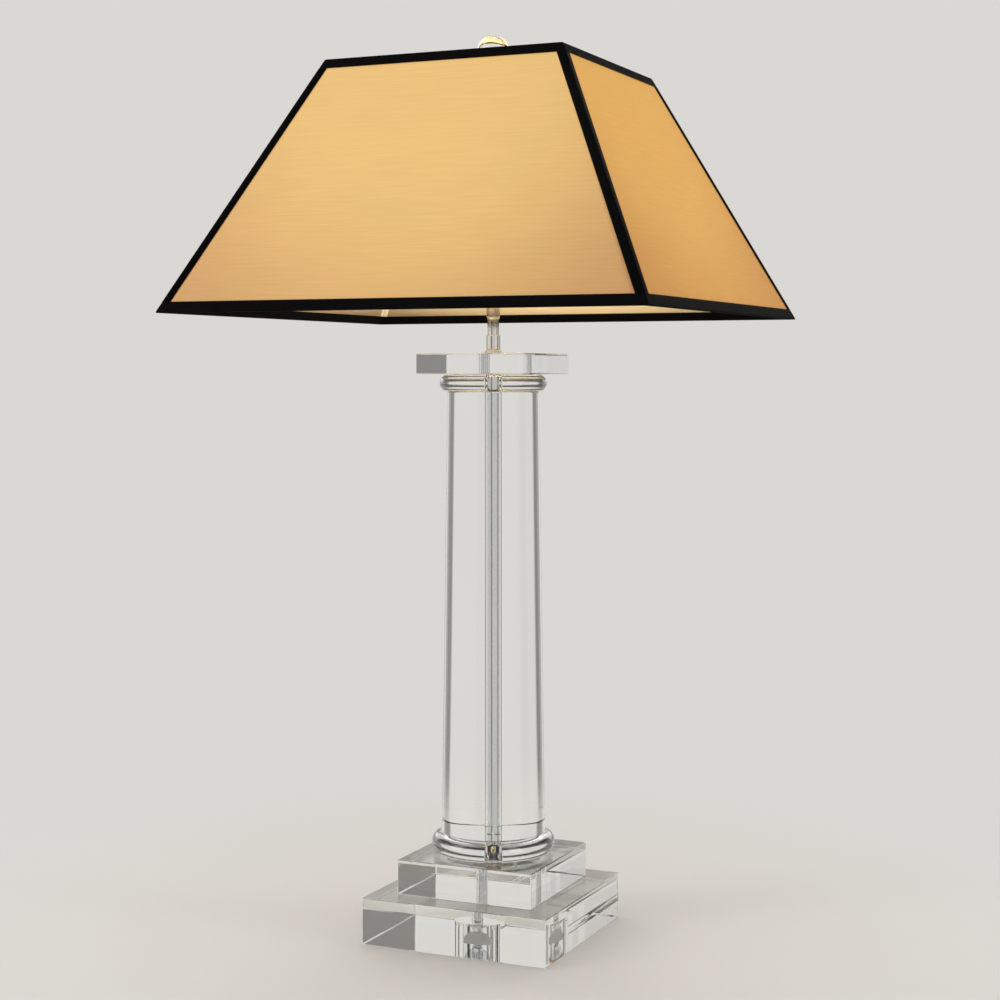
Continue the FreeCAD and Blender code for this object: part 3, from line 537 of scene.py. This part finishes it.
def porcelain_material():
    """Unglazed porcelain, cream white, with a fine tooth and a few grey specks."""
    porcelain, tree, shader = start_material("core_porcelain", {"Roughness": 0.6})
    two_tones(tree, shader, uneven(tree, 900.0, -0.6, 0.6),
              (0.88, 0.86, 0.81, 1), (0.76, 0.74, 0.70, 1))
    emboss(tree, shader, uneven(tree, 2600.0), 0.00003, 0.4)
    return porcelain


def brass_material():
    """Satin brass, tarnished slightly in patches."""
    brass, tree, shader = start_material("contact_brass", {"Metallic": 1.0})
    two_tones(tree, shader, uneven(tree, 220.0), (0.78, 0.60, 0.30, 1), (0.60, 0.44, 0.21, 1))
    tree.links.new(uneven(tree, 320.0, 0.24, 0.42), shader.inputs["Roughness"])
    return brass


brass = brass_material()
finish_nodes(nickel, "socket_cap", "socket_shell")
finish_nodes(liner_board_material(), "socket_liner")
finish_nodes(porcelain_material(), "socket_core")
finish_nodes(brass, "socket_screw_shell", "socket_contact", "terminal_screws")


# ------------------------------------------------------------------- switch key
# The flat turn key of the switch: a nickel stem that goes into the core, with a
# moulded black plastic paddle pressed on its outer end.
def key_plastic_material():
    """Moulded black plastic, glossy, with the faint ripple of the mould."""
    plastic, tree, shader = start_material("key_plastic", {
        "Coat Weight": 0.2, "Coat Roughness": 0.08})
    two_tones(tree, shader, uneven(tree, 150.0),
              (0.014, 0.013, 0.013, 1), (0.028, 0.026, 0.025, 1))
    tree.links.new(uneven(tree, 260.0, 0.2, 0.34), shader.inputs["Roughness"])
    emboss(tree, shader, uneven(tree, 420.0), 0.00004, 0.3)
    return plastic


finish_nodes(nickel, "key_stem")
finish_nodes(key_plastic_material(), "key_paddle")


# ------------------------------------------------------------------------ bulb
# A soft white screw-in bulb, lit: blown glass coated white inside, cemented in
# an aluminium cap, with a black glass insulator and a soldered brass tip.
def lit_glass_material():
    """White coated glass that gives off warm light, a little uneven where the coat is thin."""
    coated, tree, shader = start_material("frosted_glass", {
        "Base Color": (0.90, 0.86, 0.78, 1), "Roughness": 0.42,
        "Emission Color": (1.0, 0.80, 0.52, 1)})
    tree.links.new(uneven(tree, 45.0, 17.0, 20.0), shader.inputs["Emission Strength"])
    two_tones(tree, shader, uneven(tree, 90.0), (0.92, 0.88, 0.80, 1), (0.86, 0.81, 0.72, 1))
    return coated


def bright_aluminium_material():
    """Rolled aluminium, bright, with fine lines round the cap."""
    aluminium, tree, shader = start_material("bulb_aluminium", {"Metallic": 1.0})
    two_tones(tree, shader, uneven(tree, 130.0), (0.80, 0.80, 0.81, 1), (0.70, 0.70, 0.72, 1))
    tree.links.new(uneven(tree, 500.0, 0.18, 0.36, (0.05, 0.05, 1)), shader.inputs["Roughness"])
    return aluminium


def black_glass_material():
    """Black pressed glass, glossy and slightly rippled."""
    black, tree, shader = start_material("bulb_black_glass", {"IOR": 1.52})
    two_tones(tree, shader, uneven(tree, 300.0),
              (0.016, 0.016, 0.02, 1), (0.035, 0.035, 0.042, 1))
    tree.links.new(uneven(tree, 200.0, 0.08, 0.2), shader.inputs["Roughness"])
    return black


bulb_low, bulb_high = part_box("bulb_glass")
bulb_wall = 0.0009
bulb_neck_radius = 0.0124
bulb_neck_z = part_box("bulb_cap")[1].z
bulb_centre = (0, bulb_high.z - bulb_high.x)


def bulb_outline(inset, steps):
    """Half the bulb's outline from its crown down to the foot of its neck."""
    radius = bulb_high.x - inset
    neck = bulb_neck_radius - inset
    drop = bulb_centre[1] - bulb_neck_z
    lean = math.degrees(math.asin(radius / math.hypot(neck, drop)) - math.atan2(neck, drop))
    return (round_stretch(bulb_centre, radius, 90, -lean, steps)
            + [(neck, bulb_neck_z), (neck, bulb_low.z)])


bulb_mesh = turn_round(bulb_outline(0, 40) + bulb_outline(bulb_wall, 24)[::-1], 96)
bulb = place_piece("coated_bulb", bulb_mesh, lit_glass_material())
stand_for(bulb, "bulb", "frosted_glass", "bulb_glass")
finish_nodes(bright_aluminium_material(), "bulb_cap")
finish_nodes(black_glass_material(), "bulb_insulator")
finish_nodes(brass, "bulb_tip")


# ------------------------------------------------------------------ shade frame
# Two bent and welded wire rings, four corner struts and a spider whose hub sits
# on the harp's stud. The welded frame is dipped in cream paint.
def frame_coating_material():
    """Cream dip paint, thick, lumpy, duller where it pooled, with a painted warm glow for the
    bulb's light on it.
    """
    coating, tree, shader = start_material("frame_coating", {
        "Coat Weight": 0.1, "Coat Roughness": 0.2,
        "Emission Color": (1.0, 0.76, 0.44, 1), "Emission Strength": 0.28})
    two_tones(tree, shader, uneven(tree, 120.0), (0.84, 0.78, 0.65, 1), (0.76, 0.69, 0.55, 1))
    tree.links.new(uneven(tree, 160.0, 0.3, 0.5), shader.inputs["Roughness"])
    emboss(tree, shader, uneven(tree, 260.0), 0.0001, 0.4)
    return coating


finish_nodes(frame_coating_material(),
             "shade_spider", "shade_top_ring", "shade_bottom_ring", "corner_struts")


# ----------------------------------------------------------------- shade walls
# Four walls of silk on a stiff cream lining, cut as trapezoids, glued round the
# rings and mitred at the corners. The silk's slubs run level across each wall.
rim_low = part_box("bottom_trim")[0].z
rim_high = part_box("top_trim")[1].z
bottom_half_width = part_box("bottom_trim")[1].x
bottom_half_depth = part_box("bottom_trim")[1].y
top_half_width = 0.1125
top_half_depth = 0.11
shade_height = rim_high - rim_low
lean_x = (bottom_half_width - top_half_width) / shade_height
lean_y = (bottom_half_depth - top_half_depth) / shade_height


def wall_point(side_x, side_y, z, inset):
    """A point on a corner of the shade, inset metres inside its outer face."""
    half_width = bottom_half_width - lean_x * (z - rim_low) - inset * math.hypot(1, lean_x)
    half_depth = bottom_half_depth - lean_y * (z - rim_low) - inset * math.hypot(1, lean_y)
    return Vector((side_x * half_width, side_y * half_depth, z))


def lay_pattern(mesh, across, up):
    """A map in metres: along the wall, and up its slope."""
    layer = mesh.loops.layers.uv.verify()
    for face in mesh.faces:
        for loop in face.loops:
            loop[layer].uv = (loop.vert.co.dot(across), loop.vert.co.dot(up))


def threads(tree, place, pitch, direction):
    """Ridges that run along the cloth, one every pitch metres."""
    wave_turn = 20       # radians a metre that the wave texture turns through at scale 1
    wave = add_node(tree, "TexWave", {
        "Vector": place, "Scale": math.tau / (wave_turn * pitch), "Distortion": 1.2,
        "Detail": 2.0, "Detail Scale": 1.5}, bands_direction=direction)
    return wave.outputs["Fac"]


def stretched_noise(tree, place, stretch, detail=3.0):
    """Noise drawn out one way, in features per metre."""
    laid = add_node(tree, "Mapping", {"Vector": place, "Scale": stretch}).outputs[0]
    return add_node(tree, "TexNoise", {"Vector": laid, "Scale": 1.0, "Detail": detail}).outputs[0]


def painted_glow_reach(tree, near, far):
    """1 at the middle of a wall, where the bulb is near, and 0 at the far lower corners: the share
    of the painted glow.
    """
    place = add_node(tree, "TexCoord").outputs["Object"]
    bulb_place = (bulb_centre[0], 0, bulb_centre[1])
    distance = add_node(tree, "VectorMath", {0: place, 1: bulb_place}, operation="DISTANCE")
    return ramp(tree, distance.outputs["Value"], start=far, end=near, kind="SMOOTHSTEP")


def silk_material(name, light_tone, deep_tone, glow_tone, far_glow_tone, glow):
    """Slubbed silk with a painted glow for the lamp's light through it, weaker and redder far from
    the bulb.
    """
    silk, tree, shader = start_material(name, {
        "Roughness": 0.62, "Specular IOR Level": 0.05,
        "Sheen Weight": 0.02, "Sheen Roughness": 0.4, "Sheen Tint": (1.0, 0.75, 0.4, 1)})
    place = add_node(tree, "TexCoord").outputs["UV"]
    slubs = stretched_noise(tree, place, (22, 620, 1), 4.0)
    slub_share = ramp(tree, slubs, start=0.32, end=0.68)
    two_tones(tree, shader, slub_share, light_tone, deep_tone)
    reach = painted_glow_reach(tree, near=0.15, far=0.33)
    tree.links.new(blend_colours(tree, reach, far_glow_tone, glow_tone),
                   shader.inputs["Emission Color"])
    clouds = stretched_noise(tree, place, (9, 16, 1), 2.0)
    cloudy_glow = ramp(tree, clouds, 0.3, 0.7, low=0.96 * glow, high=1.04 * glow)
    slub_shade = ramp(tree, slub_share, 0, 1, low=1.0, high=0.96)
    tree.links.new(arithmetic(tree, "MULTIPLY", cloudy_glow, slub_shade),
                   shader.inputs["Emission Strength"])
    weft = arithmetic(tree, "MULTIPLY", threads(tree, place, 0.00045, "Y"), 0.6)
    warp = arithmetic(tree, "MULTIPLY", threads(tree, place, 0.0006, "X"), 0.25)
    weave = arithmetic(tree, "ADD", weft, warp)
    emboss(tree, shader, arithmetic(tree, "ADD", weave, slubs), 0.00008, 0.5)
    return silk


def lining_material(name, glow_tone):
    """Stiff cream lining, smooth, with a painted glow for the bulb's light that dims far from it,
    the weave just printing through.
    """
    lining, tree, shader = start_material(name, {"Roughness": 0.5, "Specular IOR Level": 0.3})
    painted_unlit_tone = (0.04, 0.02, 0.005, 1)
    place = add_node(tree, "TexCoord").outputs["UV"]
    clouds = stretched_noise(tree, place, (30, 90, 1))
    two_tones(tree, shader, clouds, (0.61, 0.51, 0.35, 1), (0.55, 0.45, 0.29, 1))
    reach = painted_glow_reach(tree, near=0.19, far=0.325)
    tree.links.new(blend_colours(tree, reach, painted_unlit_tone, glow_tone),
                   shader.inputs["Emission Color"])
    tree.links.new(ramp(tree, clouds, 0, 1, low=0.9, high=1.1),
                   shader.inputs["Emission Strength"])
    emboss(tree, shader, clouds, 0.00006, 0.3)
    return lining


# The side walls get a deeper, more orange silk and a dimmer lining glow than the front and back:
# painted shade, for how the light falls on them. Silk and lining give off a painted glow in place
# of the bulb's light through the cloth.
front_silk_painted_glow = silk_material("front_silk_painted_glow", (0.56, 0.382, 0.173, 1), (0.525, 0.353, 0.157, 1),
                           (1.0, 0.60, 0.18, 1), (0.36, 0.06, 0.01, 1), 0.38)
side_silk_painted_shade = silk_material("side_silk_painted_shade", (0.50, 0.268, 0.068, 1), (0.47, 0.248, 0.060, 1),
                          (1.0, 0.52, 0.10, 1), (0.40, 0.09, 0.01, 1), 0.31)
front_lining_painted_glow = lining_material("front_lining_painted_glow", (0.56, 0.42, 0.20, 1))
side_lining_painted_shade = lining_material("side_lining_painted_shade", (0.16, 0.10, 0.04, 1))
wall_cover = 0.00085
wall_thickness = 0.0009
wall_low = rim_low + 0.001
wall_high = rim_high - 0.001
wall_cuts = 31
slack = 0.00025
ripple = 0.4             # how much the slack wanders, as a share of itself
ripple_along = 9
ripple_up = 5
for node, first, second, silk, lining in (
        ("panel_front", (-1, -1), (1, -1), front_silk_painted_glow, front_lining_painted_glow),
        ("panel_back", (1, 1), (-1, 1), front_silk_painted_glow, front_lining_painted_glow),
        ("panel_left", (-1, 1), (-1, -1), side_silk_painted_shade, side_lining_painted_shade),
        ("panel_right", (1, -1), (1, 1), side_silk_painted_shade, side_lining_painted_shade)):
    wall_mesh = bmesh.new()
    corners = [wall_point(*side, z, wall_cover) for side, z in (
        (first, wall_low), (second, wall_low), (second, wall_high), (first, wall_high))]
    wall_mesh.faces.new([wall_mesh.verts.new(corner) for corner in corners])
    bmesh.ops.subdivide_edges(wall_mesh, edges=wall_mesh.edges, cuts=wall_cuts, use_grid_fill=True)
    across = (corners[1] - corners[0]).normalized()
    outward = across.cross(corners[3] - corners[0]).normalized()
    up_slope = outward.cross(across).normalized()
    length = (corners[1] - corners[0]).length
    slope = (corners[2] - corners[1]).dot(up_slope)
    for vert in wall_mesh.verts:
        along = (vert.co - corners[0]).dot(across) / length
        rise = (vert.co - corners[0]).dot(up_slope) / slope
        sag = max(0.0, math.sin(math.pi * along) * math.sin(math.pi * rise))
        wander = 1 + ripple * math.sin(ripple_along * along + ripple_up * rise)
        vert.co -= outward * slack * sag * wander
    bmesh.ops.solidify(wall_mesh, geom=wall_mesh.faces[:], thickness=wall_thickness)
    inner_corner = wall_point(*first, wall_low, wall_cover + wall_thickness)
    mitre = (inner_corner - corners[0]).dot(across)
    for vert in wall_mesh.verts:
        if (vert.co - corners[0]).dot(outward) < -wall_thickness / 2:
            along = (vert.co - corners[0]).dot(across) / length
            vert.co += across * mitre * (1 - 2 * along)
    bmesh.ops.recalc_face_normals(wall_mesh, faces=wall_mesh.faces)
    lay_pattern(wall_mesh, across, up_slope)
    for face in wall_mesh.faces:
        facing = face.normal.dot(outward)
        face.smooth = abs(facing) > 0.5
        face.material_index = 0 if facing > -0.5 else 1
    wall = place_piece(node.replace("panel_", "silk_wall_"), wall_mesh, silk)
    wall.data.materials.append(lining)
    stand_for(wall, "shade", "shade_fabric", node)


# ------------------------------------------------------------------ seam strips
# Cream tape pressed into each inside corner, over the mitre of the lining, which
# hides the cut edges and stops light from leaking there.
def corner_strip(side_x, side_y, z_low, z_high, inset, thickness, width, fold):
    """Tape folded along a slanting corner, its legs lying on the two walls."""
    mesh = bmesh.new()
    low = wall_point(side_x, side_y, z_low, inset)
    high = wall_point(side_x, side_y, z_high, inset)
    run = (high - low).normalized()
    leg_x = Vector((-side_x, 0, 0)) - run * Vector((-side_x, 0, 0)).dot(run)
    leg_y = Vector((0, -side_y, 0)) - run * Vector((0, -side_y, 0)).dot(run)
    spare = run * 0.02   # cut off level again at both ends
    start = low - spare
    profile = [mesh.verts.new(start + leg_x.normalized() * width), mesh.verts.new(start),
               mesh.verts.new(start + leg_y.normalized() * width)]
    edges = [mesh.edges.new(profile[0:2]), mesh.edges.new(profile[1:3])]
    length = (high - low).length + 2 * spare.length
    grown = bmesh.ops.extrude_edge_only(mesh, edges=edges)
    raised = [item for item in grown["geom"] if isinstance(item, bmesh.types.BMVert)]
    bmesh.ops.translate(mesh, verts=raised, vec=run * length)
    for z, keep in ((z_low, -1), (z_high, 1)):
        bmesh.ops.bisect_plane(mesh, geom=mesh.verts[:] + mesh.edges[:] + mesh.faces[:],
                               dist=1e-7, plane_co=(0, 0, z), plane_no=(0, 0, keep),
                               clear_outer=True)
    creases = [edge for edge in mesh.edges if len(edge.link_faces) == 2]
    bmesh.ops.bevel(mesh, geom=creases, affect="EDGES", offset=fold, segments=4,
                    profile=0.5, material=-1)
    outside = Vector((side_x, side_y, 0.5))
    bmesh.ops.recalc_face_normals(mesh, faces=mesh.faces)
    if sum(face.normal.dot(outside) for face in mesh.faces) < 0:
        bmesh.ops.reverse_faces(mesh, faces=mesh.faces)
    bmesh.ops.solidify(mesh, geom=mesh.faces[:], thickness=thickness)
    bmesh.ops.recalc_face_normals(mesh, faces=mesh.faces)
    layer = mesh.loops.layers.uv.verify()
    for face in mesh.faces:
        face.smooth = True
        for loop in face.loops:
            offset = loop.vert.co - low
            loop[layer].uv = (offset.dot(run), offset.dot(leg_x) - offset.dot(leg_y))
    return mesh


def seam_tape_material():
    """Plain cream cotton tape, matt, with a painted warm glow for the bulb's light on it."""
    cotton, tree, shader = start_material("seam_cotton", {
        "Roughness": 0.85, "Sheen Weight": 0.1,
        "Emission Color": (1.0, 0.76, 0.44, 1), "Emission Strength": 0.52})
    place = add_node(tree, "TexCoord").outputs["UV"]
    two_tones(tree, shader, stretched_noise(tree, place, (300, 90, 1)),
              (0.88, 0.80, 0.62, 1), (0.80, 0.71, 0.52, 1))
    emboss(tree, shader, threads(tree, place, 0.0005, "X"), 0.00008, 0.5)
    return cotton


corner_sides = {"front_left": (-1, -1), "front_right": (1, -1),
                "back_left": (-1, 1), "back_right": (1, 1)}
seam_cotton = seam_tape_material()
seam_low, seam_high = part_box("seam_tapes")
seam_inset = 0.0019
seam_thickness = 0.0004
seam_width = 0.0045
seam_fold = 0.0005
for name, (side_x, side_y) in corner_sides.items():
    strip_mesh = corner_strip(side_x, side_y, seam_low.z, seam_high.z, seam_inset, seam_thickness,
                              seam_width, seam_fold)
    strip = place_piece("seam_strip_" + name, strip_mesh, seam_cotton)
    stand_for(strip, "shade", "seam_fabric", "seam_tapes")


# ----------------------------------------------------------------- corner tapes
# Black ribbed ribbon folded lengthways and glued over each outside corner. Both
# ends butt against the tapes that go round the rims.
def black_ribbon_material():
    """Black grosgrain ribbon: close ribs straight across it, matt, a little dusty in places."""
    ribbon, tree, shader = start_material("black_ribbon", {
        "Roughness": 0.8, "Specular IOR Level": 0.02})
    place = add_node(tree, "TexCoord").outputs["UV"]
    dust = stretched_noise(tree, place, (60, 240, 1), 4.0)
    two_tones(tree, shader, dust, (0.0022, 0.0022, 0.0028, 1), (0.0058, 0.0054, 0.0052, 1))
    emboss(tree, shader, threads(tree, place, 0.0009, "X"), 0.00018, 0.7)
    return ribbon


ribbon = black_ribbon_material()
ribbon_thickness = 0.0006
ribbon_fold = 0.0009
ribbon_width = 0.0076
ribbon_inset = 0.0001
corner_low, corner_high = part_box("corner_tape_front_left")
for name, (side_x, side_y) in corner_sides.items():
    tape_mesh = corner_strip(side_x, side_y, corner_low.z, corner_high.z, ribbon_inset,
                             ribbon_thickness, ribbon_width, ribbon_fold)
    tape = place_piece("corner_ribbon_" + name, tape_mesh, ribbon)
    stand_for(tape, "shade", "black_tape", "corner_tape_" + name)


# -------------------------------------------------------------------- rim tapes
# The same black ribbon, wider, folded over the two rims: a tall leg outside, the
# fold round the wire, and a short leg inside, which is slit at the spider's arms.
ribbon_cover = 0.00005
rim_corner = 0.0016
least_corner = 0.0004
rim_fold = 0.0015
rim_depth = 0.0063
inner_leg = 0.008


def rim_ribbon(edge_z, direction, outer_height):
    """Ribbon round all four sides, folded over the rim. direction points into the wall."""
    fold_steps = 5
    outer_bend = (ribbon_cover + rim_fold, rim_fold)
    inner_bend = (rim_depth - rim_fold, rim_fold)
    inner_fold = rim_fold - ribbon_thickness
    section = [(ribbon_cover, outer_height)]
    section += round_stretch(outer_bend, rim_fold, 180, 270, fold_steps)
    section += round_stretch(inner_bend, rim_fold, 270, 360, fold_steps)
    section += [(rim_depth, inner_leg), (rim_depth - ribbon_thickness, inner_leg)]
    section += round_stretch(inner_bend, inner_fold, 360, 270, fold_steps)
    section += round_stretch(outer_bend, inner_fold, 270, 180, fold_steps)
    section += [(ribbon_cover + ribbon_thickness, outer_height)]
    points_a_corner = 6
    steps = 4 * points_a_corner
    mesh = turn_round([(1 + inset, height) for inset, height in section], steps)
    for vert in mesh.verts:
        x, y, height = vert.co
        corner, point = divmod(round(math.atan2(y, x) / math.tau * steps) % steps,
                               points_a_corner)
        side_x, side_y = ((1, 1), (-1, 1), (-1, -1), (1, -1))[corner]
        turned = math.pi / 2 * point / (points_a_corner - 1)
        if corner % 2:
            turned = math.pi / 2 - turned
        inset = math.hypot(x, y) - 1
        radius = max(rim_corner - inset, least_corner)
        bend_centre = wall_point(side_x, side_y, edge_z + direction * height, inset + radius)
        vert.co = bend_centre + Vector((
            side_x * radius * math.hypot(1, lean_x) * math.cos(turned),
            side_y * radius * math.hypot(1, lean_y) * math.sin(turned), 0))
    bmesh.ops.recalc_face_normals(mesh, faces=mesh.faces)
    layer = mesh.loops.layers.uv.verify()
    for face in mesh.faces:
        face.smooth = True
        middle = face.calc_center_median()
        runs_in_x = abs(middle.y) / bottom_half_depth > abs(middle.x) / bottom_half_width
        for loop in face.loops:
            x, y, z = loop.vert.co
            loop[layer].uv = (x, z + y) if runs_in_x else (y, z + x)
    for edge in mesh.edges:
        if len(edge.link_faces) == 2 and edge.calc_face_angle() > math.radians(50):
            edge.smooth = False
    return mesh


rims = {}
for node, name, edge_z, direction in (("bottom_trim", "bottom_ribbon", rim_low, 1),
                                      ("top_trim", "top_ribbon", rim_high, -1)):
    low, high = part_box(node)
    rim = place_piece(name, rim_ribbon(edge_z, direction, high.z - low.z), ribbon)
    stand_for(rim, "shade", "black_tape", node)
    rims[name] = rim

slit_width = 0.0044
slit_length = 0.012
slit_height = 0.0098
slit_middle_z = rim_high - 0.0072
slit_shift = 0.004       # towards the hub, so that the outer leg stays whole
inner_face = wall_point(1, 1, rim_high - 0.005, rim_depth)
arm_slits = []
for side_x, side_y in ((1, 0), (-1, 0), (0, 1), (0, -1)):
    middle = Vector((side_x * (inner_face.x - slit_shift), side_y * (inner_face.y - slit_shift),
                     slit_middle_z))
    size = Vector((slit_length if side_x else slit_width, slit_length if side_y else slit_width,
                   slit_height))
    slit_mesh = bmesh.new()
    bmesh.ops.create_cube(slit_mesh, size=1.0, matrix=Matrix.Translation(middle)
                          @ Matrix.Diagonal(size.to_4d()))
    arm_slits.append(place_piece("slit", slit_mesh))
cut_out(rims["top_ribbon"], arm_slits)


# ---------------------------------------------------------------------- finial
# A turned nickel seat that screws on the harp's stud and clamps the shade, with
# a clear glass ball, ground flat underneath, cemented in its cup.
finish_nodes(nickel, "finial_base")
ball_low, ball_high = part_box("finial_ball")
ball_centre = (0, ball_high.z - ball_high.x)
ball_radius = ball_high.x - seat_gap
flat_angle = math.degrees(math.asin((ball_low.z - ball_centre[1]) / ball_high.x))
flat_spare = 0.3         # degrees: the round starts just above the ground flat
ball_outline = ([(0, ball_low.z + seat_gap)]
                + round_stretch(ball_centre, ball_radius, flat_angle + flat_spare, 90, 64))
ball = place_piece("finial_glass_ball", turn_round(ball_outline, 128), glass)
stand_for(ball, "finial", "clear_glass", "finial_ball")
